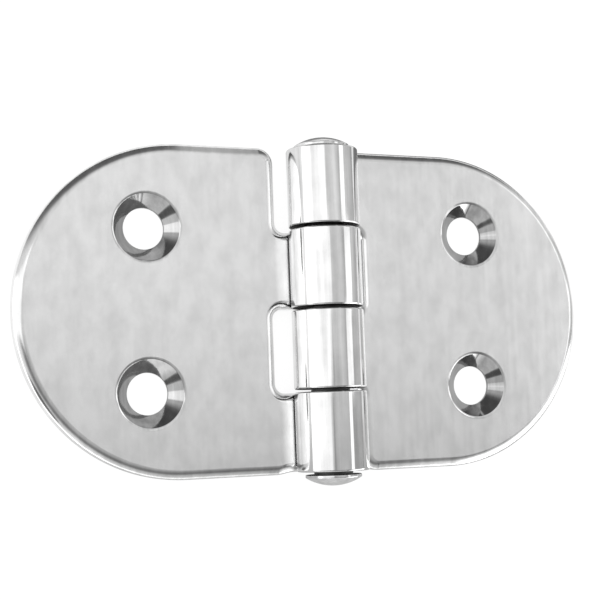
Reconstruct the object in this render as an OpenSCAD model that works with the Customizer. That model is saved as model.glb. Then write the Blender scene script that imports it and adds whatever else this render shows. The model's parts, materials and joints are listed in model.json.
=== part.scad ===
// Surface butt hinge with half-round leaves, shown opened flat and lying on its back.
// Each leaf is one piece of sheet: a half-round plate whose tabs run flat under the pin,
// curl up on the far side and close on the leaf's own face. X runs across the leaves,
// Y along the pin, Z up from the backs, and the pin's axis stands over the origin.

/* [Leaves] */
// Height of each leaf, measured along the pin
leaf_h = 40; // [36:0.5:50]
// Distance from the pin's axis to the tip of each leaf
leaf_reach = 37.5; // [34:0.1:60]
// Thickness of the sheet
sheet_t = 2; // [1.6:0.1:3]
// How far in from the wall the leaves' upper edges start to roll over
edge_w = 1.2; // [1:0.1:1.6]
// How far the rolled-over edges drop before they meet the wall
edge_drop = 0.6; // [0.3:0.05:0.9]

/* [Barrel] */
// Gap between neighbouring knuckles
knuckle_gap = 0.35; // [0.2:0.05:1]
// How far the barrel's upper end stands back from the leaves' upper edges
upper_inset = 0.6; // [0.1:0.1:2]
// How far the barrel's lower end stands back from the leaves' lower edges
lower_inset = 0.3; // [0.1:0.1:2]
// Rounding of the knuckles' outer rims
rim_r = 0.35; // [0.1:0.05:0.6]
// Gap between the end of each curl and the face that it closes on
seam_gap = 0.12; // [0.05:0.01:0.5]

/* [Notches] */
// Room between the barrel and the end wall of the notch between a leaf's two tabs
notch_clearance = 1.6; // [0.8:0.1:3]
// Room between the barrel and the wall of the notch that runs out through the leaf's edge
open_notch_clearance = 0.95; // [0.8:0.05:3]
// Radius of the notches' inner corners, seen from above
corner_r = 1.2; // [0.5:0.1:1.5]
// Radius of the outer corner beside each open notch, seen from above
outer_corner_r = 2; // [1.7:0.1:3]

/* [Pin] */
// Diameter of the pin's shank
pin_d = 4.7; // [3.6:0.1:6]
// Running clearance round the pin, on the radius
pin_clearance = 0.05; // [0.02:0.01:0.1]
// Diameter of the pin's heads
head_d = 6.8; // [6.4:0.1:8]
// Height of the straight rim of each head
head_rim_h = 0.35; // [0.2:0.05:1]
// Height of the dome on each head
head_dome_h = 1; // [0.5:0.1:2]
// Gap between the upper head and the barrel, where the pin has slid down
upper_head_gap = 0.15; // [0.1:0.05:0.6]
// Gap between the lower head and the barrel
lower_head_gap = 0.4; // [0.1:0.05:0.6]

/* [Screw holes] */
// Diameter of the through holes
hole_d = 5; // [3:0.1:6]
// Diameter of the countersinks at the face
countersink_d = 8.2; // [7:0.1:10]
// Angle across the countersinks
countersink_angle = 90; // [80:1:100]
// Distance between a leaf's two holes, along the pin
hole_spacing = 19.6; // [16:0.1:24]
// Distance from the pin's axis to the holes
hole_x = 21.7; // [18:0.1:26]

/* [Hidden] */
smooth = 96;
overlap = 0.01;
bore_r = pin_d / 2 + pin_clearance;
barrel_r = bore_r + sheet_t;
barrel_top = leaf_h / 2 - upper_inset;
barrel_bottom = lower_inset - leaf_h / 2;
barrel_l = barrel_top - barrel_bottom;
knuckle_l = (barrel_l - 3 * knuckle_gap) / 4;
closed_x = barrel_r + notch_clearance;
open_x = barrel_r + open_notch_clearance;
end_r = leaf_h / 2;
end_x = leaf_reach - end_r;
edge_r = (edge_w * edge_w + edge_drop * edge_drop) / (2 * edge_drop);
// The curl stops where its outer side is one seam gap over the leaf's face
curl_angle = 270 + asin((barrel_r - sheet_t - seam_gap) / barrel_r);
// The plate starts under the end of the curl, clear of the pin's heads
plate_x = head_d / 2;
countersink_depth = (countersink_d - hole_d) / 2 / tan(countersink_angle / 2);

// Cuts an edge at the origin back to an arc of radius r that leaves the face above it
// smoothly, w in from the edge and down by drop, with the material towards +X and -Y
module cove(r, w, drop) {
    difference() {
        translate([-overlap, -drop]) square([w + overlap, drop + overlap]);
        translate([w, -r]) circle(r, $fn = smooth);
    }
}

// Cuts an edge at the origin to a quarter round
module round_cove(r) {
    cove(r, r, r);
}

// Cuts a leaf's upper edge at the origin to its rolled-over form
module edge_cove() {
    cove(edge_r, edge_w, edge_drop);
}

// Section of the plate across the pin's direction, with its two upper edges rolled over
module plate_section() {
    difference() {
        translate([-end_r, 0]) square([leaf_h, sheet_t]);
        translate([-end_r, sheet_t]) edge_cove();
        translate([end_r, sheet_t]) mirror([1, 0]) edge_cove();
    }
}

// Half-round plate, from under the curls to the tip
module plate() {
    translate([plate_x, 0, 0])
        rotate([90, 0, 90])
            linear_extrude(end_x - plate_x) plate_section();
    translate([end_x, 0, 0])
        rotate([0, 0, -90])
            rotate_extrude(angle = 180, $fn = smooth)
                intersection() {
                    plate_section();
                    square([end_r, sheet_t]);
                }
}

// One knuckle of length l with its upper end at y: flat tab, then the curl round the pin
module knuckle(y, l) {
    translate([0, y - l, 0]) cube([plate_x, l, sheet_t]);
    translate([0, y, barrel_r])
        rotate([90, 0, 0])
            mirror([1, 0, 0])
                rotate([0, 0, -90])
                    rotate_extrude(angle = curl_angle, $fn = smooth)
                        difference() {
                            translate([bore_r, 0]) square([sheet_t, l]);
                            translate([barrel_r, 0]) rotate(180) round_cove(rim_r);
                            translate([barrel_r, l]) mirror([1, 0]) round_cove(rim_r);
                        }
}

// Upper edge of the side, at the origin, of a notch that ends at wall_x: it faces -Y and
// runs into the notch's inner corner
module notch_side_edge(wall_x) {
    straight_l = wall_x - corner_r - plate_x;
    translate([plate_x, 0, 0]) rotate([90, 0, 90]) linear_extrude(straight_l) edge_cove();
    translate([wall_x - corner_r, -corner_r, 0])
        rotate_extrude(angle = 90, $fn = smooth) translate([corner_r, 0]) edge_cove();
}

// Upper edge of the notch's end wall, which runs down from the origin and faces -X
module notch_end_edge(l) {
    rotate([90, 0, 0]) linear_extrude(l) edge_cove();
}

// Notch from y_low to y_high for the other leaf's knuckle, between two tabs
module closed_notch(y_low, y_high) {
    l = y_high - y_low;
    translate([0, y_low, -overlap])
        linear_extrude(sheet_t + 2 * overlap) {
            translate([-overlap, 0]) square([closed_x - corner_r + overlap, l]);
            translate([0, corner_r]) square([closed_x, l - 2 * corner_r]);
            for (y = [corner_r, l - corner_r])
                translate([closed_x - corner_r, y]) circle(corner_r, $fn = smooth);
        }
    translate([0, y_high, sheet_t]) notch_side_edge(closed_x);
    translate([0, y_low, sheet_t]) mirror([0, 1, 0]) notch_side_edge(closed_x);
    translate([closed_x, y_high - corner_r, sheet_t]) notch_end_edge(l - 2 * corner_r);
}

// Notch below the last tab, from y_high out through the leaf's straight edge
module open_notch(y_high) {
    l = y_high + end_r;
    translate([0, -end_r, -overlap])
        linear_extrude(sheet_t + 2 * overlap) {
            translate([-overlap, -corner_r]) square([open_x - corner_r + overlap, l + corner_r]);
            translate([0, -corner_r]) square([open_x, l]);
            translate([open_x - corner_r, l - corner_r]) circle(corner_r, $fn = smooth);
            translate([open_x, 0]) mirror([0, 1]) round_cove(outer_corner_r);
        }
    translate([0, y_high, sheet_t]) notch_side_edge(open_x);
    translate([open_x, y_high - corner_r, sheet_t])
        notch_end_edge(l - corner_r - outer_corner_r);
    translate([open_x + outer_corner_r, outer_corner_r - end_r, sheet_t])
        rotate([0, 0, 180])
            rotate_extrude(angle = 90, $fn = smooth)
                translate([outer_corner_r, 0]) mirror([1, 0]) edge_cove();
}

// Through hole with its countersink, on the Z axis
module screw_hole() {
    translate([0, 0, -overlap]) cylinder(h = sheet_t + 2 * overlap, d = hole_d, $fn = smooth);
    translate([0, 0, sheet_t - countersink_depth])
        cylinder(h = countersink_depth, d1 = hole_d, d2 = countersink_d, $fn = smooth);
}

// A leaf on the +X side, whose first knuckle has its upper end at first_top
module leaf(first_top) {
    second_top = first_top - 2 * (knuckle_l + knuckle_gap);
    difference() {
        plate();
        closed_notch(second_top, first_top - knuckle_l);
        open_notch(second_top - knuckle_l);
        for (s = [-1, 1]) translate([hole_x, s * hole_spacing / 2, 0]) screw_hole();
    }
    for (y = [first_top, second_top]) knuckle(y, knuckle_l);
}

// The left leaf carries the second and fourth knuckles, counted from the top
module left_leaf() {
    color("silver")
        rotate([0, 0, 180]) leaf(-barrel_bottom);
}

// The right leaf carries the first and third knuckles
module right_leaf() {
    color("silver") leaf(barrel_top);
}

// Section of one end of the pin: shank, straight rim and dome, from the origin outwards
module pin_end(shank_l) {
    dome_r = (head_dome_h * head_dome_h + head_d * head_d / 4) / (2 * head_dome_h);
    square([pin_d / 2, shank_l + overlap]);
    translate([0, shank_l]) square([head_d / 2, head_rim_h + overlap]);
    intersection() {
        translate([0, shank_l + head_rim_h]) square([head_d / 2, head_dome_h]);
        translate([0, shank_l + head_rim_h + head_dome_h - dome_r]) circle(dome_r, $fn = smooth);
    }
}

module hinge_pin() {
    color("gainsboro")
        translate([0, 0, barrel_r])
            rotate([-90, 0, 0])
                rotate_extrude($fn = smooth) {
                    pin_end(barrel_top + upper_head_gap);
                    mirror([0, 1]) pin_end(lower_head_gap - barrel_bottom);
                }
}

left_leaf();
right_leaf();
hinge_pin();
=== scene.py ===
import json
import math

import bpy
import numpy as np
from mathutils import Matrix, Vector
from mathutils.geometry import delaunay_2d_cdt


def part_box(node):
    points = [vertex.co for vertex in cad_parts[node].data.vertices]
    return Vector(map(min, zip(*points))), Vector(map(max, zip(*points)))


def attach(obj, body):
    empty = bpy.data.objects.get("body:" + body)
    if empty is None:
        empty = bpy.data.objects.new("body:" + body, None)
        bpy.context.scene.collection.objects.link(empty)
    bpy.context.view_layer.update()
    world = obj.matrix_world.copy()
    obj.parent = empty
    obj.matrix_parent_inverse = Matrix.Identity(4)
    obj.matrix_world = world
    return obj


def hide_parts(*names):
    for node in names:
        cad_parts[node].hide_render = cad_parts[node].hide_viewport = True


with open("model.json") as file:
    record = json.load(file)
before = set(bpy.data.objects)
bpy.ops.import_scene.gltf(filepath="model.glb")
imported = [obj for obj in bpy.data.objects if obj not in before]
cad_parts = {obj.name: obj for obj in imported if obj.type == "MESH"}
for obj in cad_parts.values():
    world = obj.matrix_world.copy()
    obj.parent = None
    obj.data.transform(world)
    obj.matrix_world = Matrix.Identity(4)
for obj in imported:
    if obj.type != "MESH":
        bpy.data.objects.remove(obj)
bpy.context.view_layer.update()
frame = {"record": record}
scene = bpy.context.scene
mm = 0.001


# Camera
# A hand-held view from the lower left of the hinge, about 16 cm from its face, at the
# place that a fit to the outline, the holes and the barrel in the photo gives.
eye = Vector((-63.52, -13.85, 148.71)) * mm
aim = Vector((-2.564, 1.165, 2.0)) * mm
camera_roll = math.radians(-2.114)
focal_px = 1301.2
frame_px = 600

back = (eye - aim).normalized()
right = Vector((0, 1, 0)).cross(back).normalized()
up = back.cross(right)
level_axes = Matrix((right, up, back)).transposed()
view_axes = level_axes @ Matrix.Rotation(camera_roll, 3, "Z")
camera = bpy.data.objects.new("camera", bpy.data.cameras.new("camera"))
camera.data.sensor_width = 36
camera.data.lens = camera.data.sensor_width * focal_px / frame_px
camera.data.clip_start = 0.005
camera.data.clip_end = 20
camera.matrix_world = Matrix.Translation(eye) @ view_axes.to_4x4()
scene.collection.objects.link(camera)
scene.camera = camera
scene.view_settings.view_transform = "Standard"


# Floor
# A plain white table top under the hinge, mostly lit by its own light, so that it renders
# white and still takes the hinge's shadow. In the steel its glow carries painted shade,
# where the hinge's shadow would fall: greyer in front of the hinge, dark just behind its
# right half, and dimmer in the screw holes.
floor_reach = 1.5
floor_white = (0.9, 0.9, 0.9, 1)
own_share = 0.85
own_light = 1.08
hole_light = 0.55
screws = {mount["name"]: mount for mount in frame["record"]["mounts"]}["right_screws"]
hole_x = screws["pos_m"][0] / mm
hole_y = screws["dims"]["spacing_y_mm"] / 2
hole_r = screws["dims"]["hole_r_mm"]
hole_patch_r = 1.6 * hole_r
hole_patch_end_r = 1.7 * hole_r


def put(tree, socket, value):
    """Link a socket's value, or set a plain one"""
    if isinstance(value, bpy.types.NodeSocket):
        tree.links.new(value, socket)
    else:
        socket.default_value = value


def math_node(tree, operation, *values):
    """Output of a Math node on sockets or plain numbers"""
    node = tree.nodes.new("ShaderNodeMath")
    node.operation = operation
    for socket, value in zip(node.inputs, values):
        put(tree, socket, value)
    return node.outputs[0]


def mixed(tree, factor, first, second):
    """Output of a Mix node on numbers: first at a factor of 0, second at 1"""
    node = tree.nodes.new("ShaderNodeMix")
    node.data_type = "FLOAT"
    for key, value in (("Factor", factor), ("A", first), ("B", second)):
        put(tree, node.inputs[key], value)
    return node.outputs["Result"]


def profile_over(tree, value, stops):
    """Level read from (value, level) stops, with straight lines between them"""
    low, high = stops[0][0], stops[-1][0]
    spread = tree.nodes.new("ShaderNodeMapRange")
    spread.inputs["From Min"].default_value = low
    spread.inputs["From Max"].default_value = high
    tree.links.new(value, spread.inputs["Value"])
    ramp = tree.nodes.new("ShaderNodeValToRGB")
    marks = ramp.color_ramp.elements
    for mark, (_, level) in ((marks[0], stops[0]), (marks[1], stops[-1])):
        mark.color = (level, level, level, 1)
    for at, level in stops[1:-1]:
        marks.new((at - low) / (high - low)).color = (level, level, level, 1)
    tree.links.new(spread.outputs[0], ramp.inputs[0])
    return ramp.outputs[0]


def in_steel(tree):
    """1 for rays that polished steel sends on, otherwise 0"""
    return tree.nodes.new("ShaderNodeLightPath").outputs["Is Glossy Ray"]


def seen_directly(tree):
    """1 for rays of the camera, and for those that metal and glass send on, otherwise 0"""
    path = tree.nodes.new("ShaderNodeLightPath")
    sent_on = math_node(
        tree, "MAXIMUM", path.outputs["Is Glossy Ray"], path.outputs["Is Transmission Ray"]
    )
    return math_node(tree, "MAXIMUM", path.outputs["Is Camera Ray"], sent_on)


paper = bpy.data.materials.new("white_table")
paper.use_nodes = True
tree = paper.node_tree
tree.nodes.clear()
on_floor = tree.nodes.new("ShaderNodeSeparateXYZ")
tree.links.new(tree.nodes.new("ShaderNodeTexCoord").outputs["Object"], on_floor.inputs[0])
front_to_back = profile_over(
    tree, on_floor.outputs["Y"],
    [(-0.08, 0.75), (-0.03, 0.6), (-0.02, 0.5), (-0.012, 0.9), (0, 1.02), (0.1, 1)],
)
just_behind = profile_over(
    tree, on_floor.outputs["Y"], [(0.0165, 0), (0.0205, 1), (0.0255, 1), (0.029, 0)]
)
left_to_right = profile_over(
    tree, on_floor.outputs["X"], [(-0.06, 0.9), (-0.005, 0.9), (0, 0.1), (0.06, 0.08)]
)
squares = []
for axis, hole_at in (("X", hole_x), ("Y", hole_y)):
    off = math_node(tree, "ABSOLUTE", on_floor.outputs[axis])
    off = math_node(tree, "SUBTRACT", off, hole_at * mm)
    squares.append(math_node(tree, "POWER", off, 2))
off_hole = math_node(tree, "SQRT", math_node(tree, "ADD", *squares))
in_hole = profile_over(
    tree, off_hole, [(0, 1), (hole_patch_r * mm, 1), (hole_patch_end_r * mm, 0), (1, 0)]
)
# Painted shade: the floor's glow, as the steel shows it, is dimmed where the hinge's shadow falls
# round it and in the screw holes
painted_hinge_shade = mixed(tree, just_behind, front_to_back, left_to_right)
reflected = mixed(tree, in_hole, painted_hinge_shade, hole_light)
diffuse = tree.nodes.new("ShaderNodeBsdfDiffuse")
diffuse.inputs["Color"].default_value = floor_white
glow = tree.nodes.new("ShaderNodeEmission")
put(tree, glow.inputs["Strength"], mixed(tree, in_steel(tree), own_light, reflected))
blend = tree.nodes.new("ShaderNodeMixShader")
put(tree, blend.inputs[0], math_node(tree, "MULTIPLY", seen_directly(tree), own_share))
tree.links.new(diffuse.outputs[0], blend.inputs[1])
tree.links.new(glow.outputs[0], blend.inputs[2])
surface = tree.nodes.new("ShaderNodeOutputMaterial")
tree.links.new(blend.outputs[0], surface.inputs[0])

floor_mesh = bpy.data.meshes.new("floor")
corner_signs = ((-1, -1), (1, -1), (1, 1), (-1, 1))
floor_corners = [(x * floor_reach, y * floor_reach, 0) for x, y in corner_signs]
floor_mesh.from_pydata(floor_corners, [], [(0, 1, 2, 3)])
floor_mesh.materials.append(paper)
floor = bpy.data.objects.new("floor", floor_mesh)
scene.collection.objects.link(floor)


# Studio
# Even white light from all round. Only the polished steel shows the cards, which stand a
# little unevenly: white on the left, a wide grey one overhead, a white strip to its right,
# and darker gaps low at the far and the near side.
most_shift = 6
seam_level = 0.15

# The lower left rim shows a dark gap round this direction
corner_direction = (-0.74, -0.55, 0.387)

# What the knuckles reflect to the camera, from the fourth up to the first, as ranges of
# the direction's part towards the far side
knuckle_views = ((-0.2, 0.0235), (0.026, 0.0875), (0.09, 0.151), (0.153, 0.4))


def by_knuckle(tree, to_far, *values):
    """A value for what each knuckle reflects, from the fourth up to the first"""
    stops = [(at, value) for view, value in zip(knuckle_views, values) for at in view]
    return profile_over(tree, to_far, stops)


world = bpy.data.worlds.new("studio")
scene.world = world
world.use_nodes = True
tree = world.node_tree
tree.nodes.clear()
direction = tree.nodes.new("ShaderNodeTexCoord").outputs["Generated"]
parts = tree.nodes.new("ShaderNodeSeparateXYZ")
tree.links.new(direction, parts.inputs[0])
to_right, to_far, to_top = parts.outputs[:3]
round_pin = math_node(tree, "DEGREES", math_node(tree, "ARCTAN2", to_right, to_top))
uneven = by_knuckle(tree, to_far, 1, 0.5, 0, 0.55)
shift = math_node(
    tree, "MULTIPLY", math_node(tree, "MULTIPLY_ADD", uneven, 2 * most_shift, -most_shift),
    profile_over(tree, round_pin, [(-90, 1), (4, 1), (18, 0), (95, 0)]),
)
across = math_node(tree, "ADD", round_pin, shift)

# Profiles across the pin run in degrees from the left, over the top at 0, to the right.
# The white strip's sides are in hundreds of degrees, which keeps a ramp's levels small.
strip_from = by_knuckle(tree, to_far, 0.36, 0.36, 0.415, 0.345)
strip_to = by_knuckle(tree, to_far, 0.47, 0.58, 0.65, 0.5)
in_strip = math_node(
    tree, "MINIMUM",
    math_node(tree, "SUBTRACT", round_pin, math_node(tree, "MULTIPLY", strip_from, 100)),
    math_node(tree, "SUBTRACT", math_node(tree, "MULTIPLY", strip_to, 100), round_pin),
)
left_card = profile_over(tree, across, [(-90, 1), (-14.5, 1), (-11.5, 0), (95, 0)])
white_cards = math_node(
    tree, "MAXIMUM", left_card, profile_over(tree, in_strip, [(-1, 0), (1.5, 1)])
)
white_level = profile_over(
    tree, across,
    [(-90, 1.65), (-64, 1.55), (-56, 1.22), (-30, 1.18), (-15, 1.28), (30, 1.36), (90, 1.36)],
)
grey_level = profile_over(
    tree, across,
    [(-12, 0.66), (0, 0.68), (6, 0.7), (12, 0.725), (20, 0.72), (27, 0.69), (31.5, 0.61),
     (36, 0.56), (56, 0.66), (75, 0.62), (95, 0.5)],
)
length_wise = profile_over(
    tree, to_far,
    [(-0.1, 0.72), (-0.05, 0.74), (-0.01, 0.79), (0.05, 0.97), (0.1, 1.08), (0.3, 1.12)],
)
upper_right = profile_over(
    tree, math_node(tree, "MULTIPLY_ADD", to_far, 100, across),
    [(0, 1), (37, 1), (43, 0.92), (50, 0.79), (66, 0.82), (84, 0.94), (97, 0.9), (104, 0.72),
     (120, 0.65)],
)
grey_card = math_node(
    tree, "MULTIPLY", grey_level, math_node(tree, "MULTIPLY", length_wise, upper_right)
)
seam = math_node(
    tree, "MULTIPLY", profile_over(tree, across, [(-20, 0), (-16, 1), (-11, 1), (-6, 0)]),
    profile_over(tree, to_far, [(-0.1, 0.5), (0, 0.5), (0.05, 0.33), (0.075, 0.18), (0.12, 0)]),
)
overhead = mixed(tree, seam, mixed(tree, white_cards, grey_card, white_level), seam_level)
far_lift = profile_over(
    tree, to_right, [(0.1, 0), (0.27, 0.15), (0.3, 0.5), (0.354, 0.55), (0.364, 0.1), (0.42, 0)]
)
far_level = profile_over(
    tree, to_far, [(0.3, 0.7), (0.45, 0.7), (0.56, 0.46), (0.66, 0.2), (0.76, 0.12), (1, 0.1)]
)
far_side = math_node(tree, "MAXIMUM", far_lift, far_level)
off_zenith = profile_over(tree, to_top, [(-0.2, 1), (0.75, 1), (0.84, 0), (1, 0)])
near_gain = profile_over(
    tree, to_right,
    [(-0.7, 1.5), (-0.3, 1.3), (0, 1), (0.352, 1), (0.362, 0.4), (0.4, 0.4), (0.43, 1),
     (0.5, 1.6), (0.58, 3), (1, 3)],
)
near_level = profile_over(
    tree, to_top,
    [(-0.2, 1.3), (0.05, 1.3), (0.16, 1.15), (0.25, 0.62), (0.45, 0.55), (0.6, 0.44),
     (0.7, 0.22), (0.8, 0.16), (0.88, 0.24), (0.95, 0.4), (1, 0.45)],
)
near_side = math_node(tree, "MULTIPLY", mixed(tree, off_zenith, 1, near_gain), near_level)
at_far = profile_over(tree, to_far, [(0.3, 0), (0.36, 1)])
at_near = profile_over(tree, to_far, [(-0.09, 1), (-0.05, 0)])
cards = mixed(tree, at_near, mixed(tree, at_far, overhead, far_side), near_side)
corner = tree.nodes.new("ShaderNodeVectorMath")
corner.operation = "DOT_PRODUCT"
corner.inputs[1].default_value = corner_direction
tree.links.new(direction, corner.inputs[0])
corner_gap = profile_over(
    tree, corner.outputs["Value"], [(0.975, 1), (0.983, 0.4), (0.988, 0.2), (1, 0.16)]
)
sky = tree.nodes.new("ShaderNodeBackground")
sky.inputs["Color"].default_value = (1, 1, 1, 1)
shown = math_node(tree, "MULTIPLY", cards, corner_gap)
put(tree, sky.inputs["Strength"], mixed(tree, in_steel(tree), 1, shown))
sky_out = tree.nodes.new("ShaderNodeOutputWorld")
tree.links.new(sky.outputs[0], sky_out.inputs[0])

lamp = bpy.data.objects.new("soft_lamp", bpy.data.lights.new("soft_lamp", "AREA"))
lamp.data.shape = "DISK"
lamp.data.size = 0.35
lamp.data.energy = 0.25
lamp.location = (-0.22, 0.16, 0.5)
lamp.rotation_euler = (-lamp.location).to_track_quat("-Z", "Y").to_euler()
lamp.visible_glossy = False
scene.collection.objects.link(lamp)


# Leaves
# Each leaf is one blank of 2 mm polished stainless sheet, with its holes, notches and
# rolled-over edges made flat, and its two tabs then rolled up round the pin.
# Lengths are in millimetres, and the outer ones are read from the solid.
leaf_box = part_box("right_leaf")
barrel_r = leaf_box[1].z / 2 / mm
leaf_reach = leaf_box[1].x / mm
end_r = leaf_box[1].y / mm
sheet_t = 2.0
barrel_top = 19.4
barrel_bottom = -19.7
knuckle_gap = 0.35
knuckle_l = (barrel_top - barrel_bottom - 3 * knuckle_gap) / 4
knuckle_pitch = knuckle_l + knuckle_gap
curl_angle = math.radians(301.2)
bend_r = barrel_r - sheet_t / 2
curl_l = curl_angle * bend_r
curl_step_l = math.radians(3) * bend_r
curl_corner_r = 0.45
closed_x = barrel_r + 1.6
open_x = barrel_r + 0.95
inner_corner_r = 1.2
outer_corner_r = 2.0
countersink_r = 4.1
hole_steps = 96

# A tab's straight sides run on from the pin's axis past the plate's start at tab_x. Beside
# the barrel's end, the leaf's edge then comes out by a soft step to its full half width.
tab_x = 3.4
tab_end_x = 3.9
step_l = 2.3

# Steps round the arcs of the outline, and points on the soft step
end_steps = 150
notch_corner_steps = 14
outer_corner_steps = 16
curl_corner_steps = 6
soft_step_points = 12

# Edge forms as (roll-over width, its drop, fillet at the wall, rounding of the back edge),
# and the stretch of a tab over which the curl's form turns into the plate's
plate_edge = np.array([1.2, 0.6, 0.3, 0.15])
curl_edge = np.array([0.1, 0.11, 0.05, 0.22])
curl_edge_x = 0.7
plate_edge_x = 3.2

# A finish is how far a point is polished, how far it is a raw cut with painted shade and
# how far machined. The polish sets in as an edge turns by polish_tilt, and the cut and its
# painted shade end on the back's edge.
plate_polish = 0.55
polish_tilt = 0.1
cut_and_shade_tilt = 1.9
no_cut_and_shade_tilt = 2.6


def arc(centre, radius, start, stop, steps):
    """Points on an arc, with angles in degrees, and the directions out of its centre"""
    angles = np.radians(np.linspace(start, stop, steps + 1))
    out = np.c_[np.cos(angles), np.sin(angles)]
    return np.array(centre) + radius * out, out


def edge_profile(form):
    """Rounds of an edge from the face to the back: (inset, height, tilt of the normal)"""
    width, drop, fillet, back_r = form
    radius = (width ** 2 + drop ** 2) / (2 * drop)
    end = math.asin(width / radius)
    stop = math.asin((width - fillet * (1 - math.sin(end))) / radius)
    rows = []
    for a in np.linspace(0, stop, 9):
        rows.append((width - radius * math.sin(a), sheet_t - radius * (1 - math.cos(a)), a))
    low = sheet_t - drop - fillet * math.tan((math.pi / 2 - end) / 2)
    for a in np.linspace(end, math.pi / 2, 4)[1:]:
        rows.append((fillet * (1 - math.sin(a)), low + fillet * math.cos(a), a))
    for a in np.linspace(0, math.pi / 2, 6):
        rows.append((back_r * (1 - math.cos(a)), back_r * (1 - math.sin(a)), math.pi / 2 + a))
    return np.array(rows)


def leaf_outline(first_top):
    """Closed outline of a blank, counter-clockwise, with tabs towards -X: points, directions
    out of it, how much of the curl's edge form each has, and (first point, number of points)
    of each tab's sides"""
    points, outs, curled, sides = [], [], [], []

    def add(new_points, new_outs, new_curled):
        new_points = np.atleast_2d(new_points)
        points.extend(new_points)
        outs.extend(np.atleast_2d(new_outs))
        curled.extend(np.broadcast_to(new_curled, (len(new_points),)))

    def add_step():
        sweep = np.arange(soft_step_points) / soft_step_points
        height = end_r - first_top
        line = np.c_[
            tab_end_x + step_l * (1 - sweep), end_r - height * sweep ** 2 * (3 - 2 * sweep)
        ]
        out = np.c_[-6 * height / step_l * sweep * (1 - sweep), np.ones(len(sweep))]
        add(line, out / np.linalg.norm(out, axis=1)[:, None], 0)

    def add_tab_side(y, facing):
        run = np.arange(-curl_l + 2 * curl_corner_r, 0, curl_step_l)
        run = np.r_[run, np.linspace(0, tab_x, 5), tab_end_x]
        run = run[::-1] if facing > 0 else run
        sides.append((len(points), len(run)))
        how_curled = np.clip((plate_edge_x - run) / (plate_edge_x - curl_edge_x), 0, 1)
        add(np.c_[run, np.full(len(run), y)], np.tile([0.0, facing], (len(run), 1)), how_curled)

    def add_curl_corner(y, start):
        centre = (-curl_l + curl_corner_r, y)
        add(*arc(centre, curl_corner_r, start, start + 90, curl_corner_steps), 1)

    def add_notch_corner(wall_x, y, start):
        centre = (wall_x - inner_corner_r, y)
        line, out = arc(centre, inner_corner_r, start, start - 90, notch_corner_steps)
        add(line, -out, 0)

    add(*arc((leaf_reach - end_r, 0), end_r, -90, 90, end_steps), 0)
    second_top = first_top - 2 * knuckle_pitch
    for top, wall_x in ((first_top, closed_x), (second_top, open_x)):
        low = top - knuckle_l
        if top == first_top:
            add_step()
        add_tab_side(top, 1.0)
        add_curl_corner(top - curl_corner_r, 90)
        add_curl_corner(low + curl_corner_r, 180)
        add_tab_side(low, -1.0)
        add_notch_corner(wall_x, low - inner_corner_r, 90)
        if top == first_top:
            add_notch_corner(wall_x, second_top + inner_corner_r, 0)
    centre = (open_x + outer_corner_r, -end_r + outer_corner_r)
    add(*arc(centre, outer_corner_r, 180, 270, outer_corner_steps), 0)
    return np.array(points), np.array(outs), np.array(curled), sides


def strip_faces(first, rows, count):
    """Faces between neighbouring rings of count points, of which the first starts at first"""
    quads = []
    for row in range(rows - 1):
        for i in range(count):
            a, b = first + row * count + i, first + row * count + (i + 1) % count
            quads.append((a, a + count, b + count, b))
    return quads


def add_vectors(mesh, key, values):
    """Store a vector for each point of a mesh"""
    data = mesh.attributes.new(key, "FLOAT_VECTOR", "POINT").data
    data.foreach_set("vector", np.array(values, float).ravel())


def flat_blank(name, first_top):
    """The leaf's mesh before rolling: edge rounds, hole rounds and the two flat faces"""
    outline, outs, curled, sides = leaf_outline(first_top)
    coords, normals, finishes_and_shade = [], [], []
    forms = plate_edge + curled[:, None] * (curl_edge - plate_edge)
    profiles = np.array([edge_profile(form) for form in forms])
    count, rows = profiles.shape[:2]
    for inset, height, tilt in profiles.transpose(1, 2, 0):
        coords.extend(np.c_[outline - outs * inset[:, None], height])
        normals.extend(np.c_[outs * np.sin(tilt)[:, None], np.cos(tilt)])
        polished = np.clip(tilt / polish_tilt, 0, plate_polish + (1 - plate_polish) * curled)
        # The tabs' cut ends on the curl are raw steel and are also painted dark, as shade in the
        # gaps between the knuckles
        cut_and_shade = np.clip((no_cut_and_shade_tilt - tilt) / (no_cut_and_shade_tilt - cut_and_shade_tilt), 0, 1) * curled
        finishes_and_shade.extend(np.c_[polished, cut_and_shade, np.zeros(count)])
    faces = strip_faces(0, rows, count)

    # Loops as (start on the face, start on the back, number of points)
    loops = [(0, (rows - 1) * count, count)]
    for side in (-1, 1):
        loops.append(add_countersink(coords, normals, finishes_and_shade, faces, (hole_x, side * hole_y)))
    across_tabs = []
    for (upper, size), (lower, _) in zip(sides[::2], sides[1::2]):
        across_tabs += [(upper + i, lower + size - 1 - i) for i in range(size)]
    for on_back in (0, 1):
        index, edges, loop_of = [], [], []
        for number, loop in enumerate(loops):
            start, size = loop[on_back], loop[2]
            base = len(index)
            index += range(start, start + size)
            loop_of += [number] * size
            edges += [(base + i, base + (i + 1) % size) for i in range(size)]
        flat = [Vector(coords[i][:2]) for i in index]
        _, _, triangles, origin, _, _ = delaunay_2d_cdt(flat, edges + across_tabs, [], 1, 1e-7)
        for triangle in triangles:
            corners = [origin[v][0] for v in triangle]
            touched = {loop_of[c] for c in corners}
            if touched == {0} or len(touched) > 1:
                face = tuple(index[c] for c in corners)
                faces.append(face[::-1] if on_back else face)
    mesh = bpy.data.meshes.new(name)
    mesh.from_pydata((np.array(coords) * mm).tolist(), [], faces)
    add_vectors(mesh, "exact_normal", normals)
    add_vectors(mesh, "sheet_place", np.array(coords) * mm)
    add_vectors(mesh, "finish_and_shade", finishes_and_shade)
    return mesh


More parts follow.
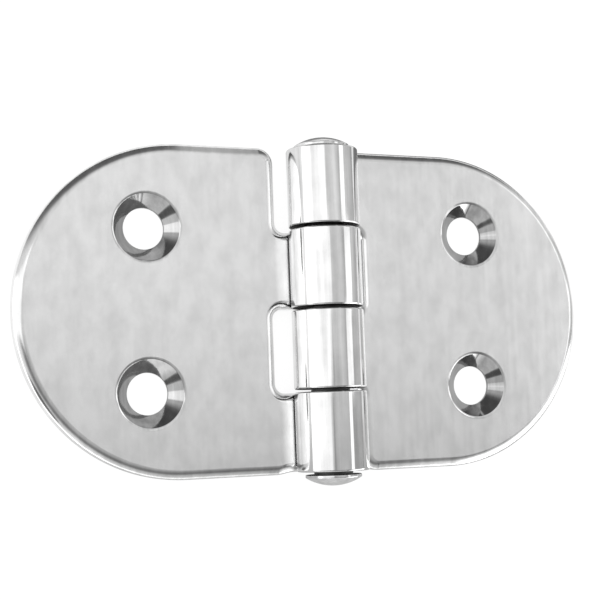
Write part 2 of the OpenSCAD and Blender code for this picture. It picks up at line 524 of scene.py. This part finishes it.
def add_countersink(coords, normals, finishes_and_shade, faces, centre):
    """Rounded rim, 90 degree cone, straight wall and deburred back edge of a screw hole. The
    cone and the wall are machined, the wall is rougher, and the back's edge stays satin."""
    roll, roll_end, rim, corner, deburr = 1.1, math.radians(19), 0.08, 0.06, 0.12
    machined_tilt, wall_tilt, wall_cut, back_edge = 0.6, 0.9, 0.3, 0.2
    drop = countersink_r - hole_r
    low = sheet_t - roll * (1 - math.cos(roll_end))
    inner = countersink_r - (sheet_t - low)
    cone_end = sheet_t - drop - corner * math.tan(math.pi / 8)
    rows = []
    for a in np.linspace(0, roll_end, 7):
        off = roll * (math.sin(roll_end) - math.sin(a))
        rows.append((inner + off, sheet_t - roll * (1 - math.cos(a)), a))
    for a in np.linspace(roll_end, math.pi / 4, 4)[1:]:
        off = rim * (math.sin(a) - math.sin(roll_end))
        rows.append((inner - off, low - rim * (math.cos(roll_end) - math.cos(a)), a))
    for a in np.radians(np.linspace(45, 90, 4)):
        rows.append((hole_r + corner * (1 - math.sin(a)), cone_end + corner * math.cos(a), a))
    for a in np.linspace(0, math.pi / 2, 5):
        off = deburr * (1 - math.cos(a))
        rows.append((hole_r + off, deburr * (1 - math.sin(a)), math.pi / 2 + a))
    out = arc(centre, 1, 360, 0, hole_steps)[1][:-1]
    first, count = len(coords), len(out)
    for radius, height, tilt in rows:
        coords.extend(np.c_[np.array(centre) + out * radius, np.full(count, height)])
        normals.extend(np.c_[-out * math.sin(tilt), np.full(count, math.cos(tilt))])
        polished = min(tilt / polish_tilt, 1) * (height > back_edge)
        cut_and_shade, machined = wall_cut * (tilt > wall_tilt), float(tilt > machined_tilt)
        finishes_and_shade.extend([(polished, cut_and_shade, machined)] * count)
    faces += strip_faces(first, len(rows), count)
    return first, first + (len(rows) - 1) * count, count


def roll_tree(steel):
    """Geometry Nodes that roll a flat blank's tabs, the part at negative X, round the pin"""
    group = bpy.data.node_groups.new("roll_round_pin", "GeometryNodeTree")
    group.interface.new_socket("Geometry", in_out="INPUT", socket_type="NodeSocketGeometry")
    for name in ("Barrel radius", "Bend radius"):
        group.interface.new_socket(name, in_out="INPUT", socket_type="NodeSocketFloat")
    group.interface.new_socket("Geometry", in_out="OUTPUT", socket_type="NodeSocketGeometry")
    nodes, links = group.nodes, group.links
    given = nodes.new("NodeGroupInput")

    def stored(key):
        node = nodes.new("GeometryNodeInputNamedAttribute")
        node.data_type = "FLOAT_VECTOR"
        node.inputs["Name"].default_value = key
        return node.outputs["Attribute"]

    def store(geometry, key, value):
        node = nodes.new("GeometryNodeStoreNamedAttribute")
        node.data_type = "FLOAT_VECTOR"
        node.inputs["Name"].default_value = key
        links.new(geometry, node.inputs["Geometry"])
        links.new(value, node.inputs["Value"])
        return node.outputs["Geometry"]

    flat = nodes.new("ShaderNodeSeparateXYZ")
    links.new(nodes.new("GeometryNodeInputPosition").outputs[0], flat.inputs[0])
    along_tab = math_node(group, "MAXIMUM", math_node(group, "MULTIPLY", flat.outputs["X"], -1), 0)
    turn = math_node(group, "DIVIDE", along_tab, given.outputs["Bend radius"])
    radius = math_node(group, "SUBTRACT", given.outputs["Barrel radius"], flat.outputs["Z"])
    aside = math_node(group, "MULTIPLY", radius, math_node(group, "SINE", turn))
    below = math_node(group, "MULTIPLY", radius, math_node(group, "COSINE", turn))
    on_plate = math_node(group, "MAXIMUM", flat.outputs["X"], 0)
    rolled = nodes.new("ShaderNodeCombineXYZ")
    links.new(math_node(group, "SUBTRACT", on_plate, aside), rolled.inputs["X"])
    links.new(flat.outputs["Y"], rolled.inputs["Y"])
    links.new(
        math_node(group, "SUBTRACT", given.outputs["Barrel radius"], below), rolled.inputs["Z"]
    )

    turned_normal = nodes.new("ShaderNodeVectorRotate")
    turned_normal.rotation_type = "Y_AXIS"
    links.new(stored("exact_normal"), turned_normal.inputs["Vector"])
    links.new(turn, turned_normal.inputs["Angle"])
    geometry = store(given.outputs["Geometry"], "exact_normal", turned_normal.outputs["Vector"])

    # The curl is polished, fully so from this turn on
    polished_turn = 0.4
    on_curl = nodes.new("ShaderNodeMapRange")
    on_curl.interpolation_type = "SMOOTHSTEP"
    on_curl.inputs["From Max"].default_value = polished_turn
    links.new(turn, on_curl.inputs["Value"])
    flat_finish_and_shade = nodes.new("ShaderNodeSeparateXYZ")
    links.new(stored("finish_and_shade"), flat_finish_and_shade.inputs[0])
    polished = math_node(group, "MAXIMUM", flat_finish_and_shade.outputs["X"], on_curl.outputs["Result"])
    rolled_finish_and_shade = nodes.new("ShaderNodeCombineXYZ")
    links.new(polished, rolled_finish_and_shade.inputs["X"])
    for axis in "YZ":
        links.new(flat_finish_and_shade.outputs[axis], rolled_finish_and_shade.inputs[axis])
    geometry = store(geometry, "finish_and_shade", rolled_finish_and_shade.outputs[0])

    move = nodes.new("GeometryNodeSetPosition")
    links.new(geometry, move.inputs["Geometry"])
    links.new(rolled.outputs[0], move.inputs["Position"])
    realize = nodes.new("GeometryNodeRealizeInstances")
    links.new(move.outputs[0], realize.inputs[0])
    dress = nodes.new("GeometryNodeSetMaterial")
    dress.inputs["Material"].default_value = steel
    links.new(realize.outputs[0], dress.inputs["Geometry"])
    links.new(dress.outputs[0], nodes.new("NodeGroupOutput").inputs[0])
    return group


def marks_group():
    """Shader group of the marks that polishing leaves: fine lines along the pin, broad waves
    across them, and soft clouds"""
    group = bpy.data.node_groups.new("polishing_marks", "ShaderNodeTree")
    group.interface.new_socket("Place", in_out="INPUT", socket_type="NodeSocketVector")
    nodes, links = group.nodes, group.links
    given = nodes.new("NodeGroupInput")
    marks_out = nodes.new("NodeGroupOutput")
    for name, stretch_y, scale, detail in (
        ("Lines", 0.03, 1400, 4), ("Waves", 0.12, 420, 2), ("Clouds", 0.6, 480, 6)
    ):
        group.interface.new_socket(name, in_out="OUTPUT", socket_type="NodeSocketFloat")
        stretch = nodes.new("ShaderNodeVectorMath")
        stretch.operation = "MULTIPLY"
        stretch.inputs[1].default_value = (1, stretch_y, 1)
        links.new(given.outputs["Place"], stretch.inputs[0])
        noise = nodes.new("ShaderNodeTexNoise")
        noise.inputs["Scale"].default_value = scale
        noise.inputs["Detail"].default_value = detail
        links.new(stretch.outputs[0], noise.inputs["Vector"])
        links.new(noise.outputs["Fac"], marks_out.inputs[name])
    return group


def mapped(tree, value, from_low, from_high, low, high):
    """Output of a Map Range node, held within its range"""
    node = tree.nodes.new("ShaderNodeMapRange")
    for socket, number in zip(list(node.inputs)[1:5], (from_low, from_high, low, high)):
        socket.default_value = number
    tree.links.new(value, node.inputs["Value"])
    return node.outputs[0]


def mesh_vectors(tree, key):
    """The vectors that a mesh stores under a name"""
    node = tree.nodes.new("ShaderNodeAttribute")
    node.attribute_name = key
    return node.outputs["Vector"]


def steel_material(name, tones, roughnesses, marks_follow=None):
    """Polished stainless with the mesh's finish and painted shade. The tones and roughnesses
    are those of satin, polished and raw steel, and the raw ones also serve as painted shade.
    The marks follow the vectors that the mesh stores under marks_follow, or the object itself
    where there are none."""
    cloud_tone, machined_tone = 0.08, 0.62
    satin_line_tone, polished_line_tone, line_roughness = 0.035, 0.2, 0.03
    satin_wave, polished_wave, mark_depth = 0.6, 6, 0.000002
    shade_reach, shaded_at, unshaded_at = 0.0011, 0.15, 0.56
    material = bpy.data.materials.new(name)
    material.use_nodes = True
    tree = material.node_tree
    nodes, links = tree.nodes, tree.links
    shader = nodes["Principled BSDF"]
    shader.inputs["Metallic"].default_value = 1.0

    marks = nodes.new("ShaderNodeGroup")
    marks.node_tree = polishing_marks
    if marks_follow:
        place = mesh_vectors(tree, marks_follow)
    else:
        place = nodes.new("ShaderNodeTexCoord").outputs["Object"]
    links.new(place, marks.inputs["Place"])
    clouds = mapped(tree, marks.outputs["Clouds"], 0.3, 0.7, -cloud_tone, cloud_tone)
    lines = mapped(tree, marks.outputs["Lines"], 0.35, 0.65, -0.5, 0.5)
    finish_and_shade = nodes.new("ShaderNodeSeparateXYZ")
    links.new(mesh_vectors(tree, "finish_and_shade"), finish_and_shade.inputs[0])
    polished, cut_and_shade, machined = finish_and_shade.outputs[:3]
    # Painted shade: the steel takes its raw tone and roughness where other surfaces close it in, in
    # the gaps between the parts and where it meets the floor
    openness = nodes.new("ShaderNodeAmbientOcclusion")
    openness.samples = 12
    openness.inputs["Distance"].default_value = shade_reach
    gap_shade = mapped(tree, openness.outputs["AO"], shaded_at, unshaded_at, 1, 0)
    cut_and_gap_shade = math_node(tree, "MAXIMUM", cut_and_shade, gap_shade)

    tone = math_node(tree, "ADD", mixed(tree, polished, tones[0], tones[1]), clouds)
    line_tone = mixed(tree, polished, satin_line_tone, polished_line_tone)
    tone = math_node(tree, "MULTIPLY_ADD", lines, line_tone, tone)
    tone = math_node(tree, "MULTIPLY", tone, mapped(tree, machined, 0, 1, 1, machined_tone))
    tone = mixed(tree, cut_and_gap_shade, tone, tones[2])
    colour = nodes.new("ShaderNodeCombineColor")
    for socket in colour.inputs[:3]:
        links.new(tone, socket)
    links.new(colour.outputs[0], shader.inputs["Base Color"])
    roughness = mixed(tree, polished, roughnesses[0], roughnesses[1])
    roughness = math_node(tree, "MULTIPLY_ADD", lines, line_roughness, roughness)
    links.new(mixed(tree, cut_and_gap_shade, roughness, roughnesses[2]), shader.inputs["Roughness"])
    wave = mixed(tree, polished, satin_wave, polished_wave)
    height = math_node(tree, "MULTIPLY_ADD", marks.outputs["Waves"], wave, marks.outputs["Lines"])
    bump = nodes.new("ShaderNodeBump")
    bump.inputs["Distance"].default_value = mark_depth
    links.new(height, bump.inputs["Height"])
    links.new(bump.outputs[0], shader.inputs["Normal"])
    return material


polishing_marks = marks_group()
leaf_steel = steel_material("leaf_steel", (0.94, 0.8, 0.16), (0.22, 0.07, 0.45), "sheet_place")
sheet_roll = roll_tree(leaf_steel)
roll_sizes = {"Barrel radius": barrel_r * mm, "Bend radius": bend_r * mm}
leaves = {
    "right_leaf": ("right_side", barrel_top, 0),
    "left_leaf": ("left_side", -barrel_bottom, math.pi),
}
for node, (body, first_top, facing) in leaves.items():
    blank = bpy.data.objects.new(node + "_blank", flat_blank(node, first_top))
    scene.collection.objects.link(blank)
    rolling = blank.modifiers.new("roll", "NODES")
    rolling.node_group = sheet_roll
    for item in sheet_roll.interface.items_tree:
        if item.name in roll_sizes:
            rolling[item.identifier] = roll_sizes[item.name]
    evaluated = blank.evaluated_get(bpy.context.evaluated_depsgraph_get())
    mesh = bpy.data.meshes.new_from_object(evaluated)
    bpy.data.objects.remove(blank)
    exact = np.empty(len(mesh.vertices) * 3)
    mesh.attributes["exact_normal"].data.foreach_get("vector", exact)
    turn = np.array(Matrix.Rotation(facing, 3, "Z"))
    mesh.transform(Matrix.Rotation(facing, 4, "Z"))
    mesh.polygons.foreach_set("use_smooth", [True] * len(mesh.polygons))
    mesh.normals_split_custom_set_from_vertices((exact.reshape(-1, 3) @ turn.T).tolist())
    mesh.attributes.remove(mesh.attributes["exact_normal"])
    leaf = bpy.data.objects.new("polished_" + node, mesh)
    scene.collection.objects.link(leaf)
    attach(leaf, body)
    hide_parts(node)


# Pin
# A stainless rod through the four knuckles, with a low domed head formed on each end and
# polished. It has slid down a little, so the lower head stands off the barrel. Its shank
# and the heads' undersides are painted dark, as shade in the gaps at the barrel's ends.
pin_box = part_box("hinge_pin")
head_r = pin_box[1].x / mm
shank_r = 2.35
head_rim_h = 0.35
dome_h = 1.0
dome_r = (dome_h ** 2 + head_r ** 2) / (2 * dome_h)
dome_angle = math.asin(head_r / dome_r)
rim_fillet = 0.15
seat_fillet = rim_fillet / 2
dome_inset = 0.999
pin_steps = 128


def head_profile(outer_end):
    """(radius, distance from the origin, tilt of the normal from outward) up to the tip"""
    seat = outer_end - dome_h - head_rim_h
    seat_r = head_r - seat_fillet
    rows = [(shank_r, 0, 0), (shank_r, seat, 0)]
    rows += [(shank_r, seat, -math.pi / 2), (seat_r, seat, -math.pi / 2)]
    for a in np.linspace(-math.pi / 2, 0, 4):
        off = seat_fillet * (1 - math.cos(a))
        rows.append((head_r - off, seat + seat_fillet * (1 + math.sin(a)), a))
    start = math.pi / 2 - dome_angle
    base = seat + head_rim_h - rim_fillet * math.tan(start / 2)
    for a in np.linspace(0, start, 5):
        rows.append((head_r - rim_fillet * (1 - math.cos(a)), base + rim_fillet * math.sin(a), a))
    inner = (head_r - rim_fillet * (1 - math.cos(start))) * dome_inset
    for a in np.linspace(math.asin(inner / dome_r), 0, 18)[:-1]:
        rows.append((dome_r * math.sin(a), outer_end - dome_r * (1 - math.cos(a)), math.pi / 2 - a))
    return rows


coords, normals, finishes_and_shade, faces = [], [], [], []
around = [(math.cos(a), math.sin(a)) for a in np.radians(np.arange(pin_steps) * 360 / pin_steps)]
for facing, outer_end in ((1, pin_box[1].y / mm), (-1, -pin_box[0].y / mm)):
    rows = head_profile(outer_end)
    first = len(coords)
    for radius, distance, tilt in rows:
        # Painted shade: the shank and the heads' seats take the dark tone, for the shade in the
        # gaps at the barrel's ends
        shaded_shank_and_seat = tilt == -math.pi / 2 or radius == shank_r
        for x, z in around:
            coords.append((radius * x, facing * distance, barrel_r + radius * z))
            normals.append((math.cos(tilt) * x, facing * math.sin(tilt), math.cos(tilt) * z))
            finishes_and_shade.append((1, shaded_shank_and_seat, 0))
    tip = len(coords)
    coords.append((0, facing * outer_end, barrel_r))
    normals.append((0, facing, 0))
    finishes_and_shade.append((1, 0, 0))
    last = tip - pin_steps
    end_faces = strip_faces(first, len(rows), pin_steps)
    end_faces += [(last + i, tip, last + (i + 1) % pin_steps) for i in range(pin_steps)]
    faces += end_faces if facing > 0 else [face[::-1] for face in end_faces]
pin_mesh = bpy.data.meshes.new("hinge_pin")
pin_mesh.from_pydata((np.array(coords) * mm).tolist(), [], faces)
pin_mesh.polygons.foreach_set("use_smooth", [True] * len(faces))
pin_mesh.normals_split_custom_set_from_vertices(normals)
add_vectors(pin_mesh, "finish_and_shade", finishes_and_shade)
pin_mesh.materials.append(steel_material("pin_steel", (0.8, 0.8, 0.1), (0.12, 0.12, 0.4)))
pin = bpy.data.objects.new("headed_pin", pin_mesh)
scene.collection.objects.link(pin)
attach(pin, "left_side")
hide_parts("hinge_pin")
